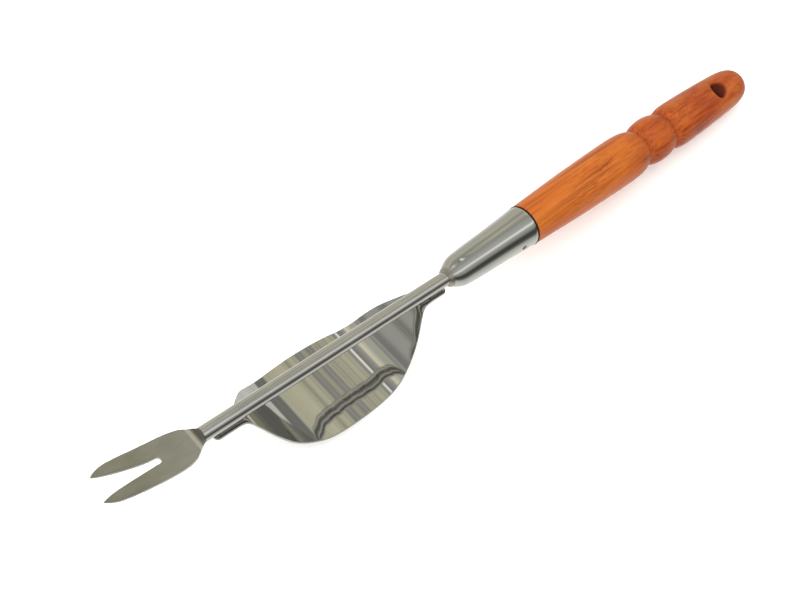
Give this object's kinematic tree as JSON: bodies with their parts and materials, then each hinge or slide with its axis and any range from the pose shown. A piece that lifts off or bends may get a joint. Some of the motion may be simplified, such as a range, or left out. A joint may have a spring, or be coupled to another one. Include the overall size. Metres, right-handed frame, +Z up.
{
  "type": "hand weeder",
  "caption": "Hand weeder: two-tined steel fork on a round shank, curved oval fulcrum plate under it, tapered ferrule and a turned wooden handle with a hanging hole.",
  "frame": {"origin": "bottom centre of the tool's box, on the surface it lies on", "axes": "+X from the fork to the butt of the handle, +Z up from the surface, Y across the tool"},
  "size_m": [0.4094, 0.045, 0.06],
  "materials": {
    "satin_steel": "satin, polished along the shank",
    "polished_plate": "mirror polished sheet",
    "weld_steel": "dressed weld",
    "polished_ferrule": "mirror polished",
    "pin_steel": "flush pin end",
    "lacquered_wood": "reddish orange hardwood, glossy lacquer"
  },
  "bodies": {
    "root": {"fork_shank": "satin_steel", "fulcrum_plate": "polished_plate", "front_weld": "weld_steel", "rear_weld": "weld_steel", "ferrule": "polished_ferrule", "ferrule_weld": "weld_steel", "ferrule_pin": "pin_steel", "handle": "lacquered_wood"}
  },
  "joints": []
}
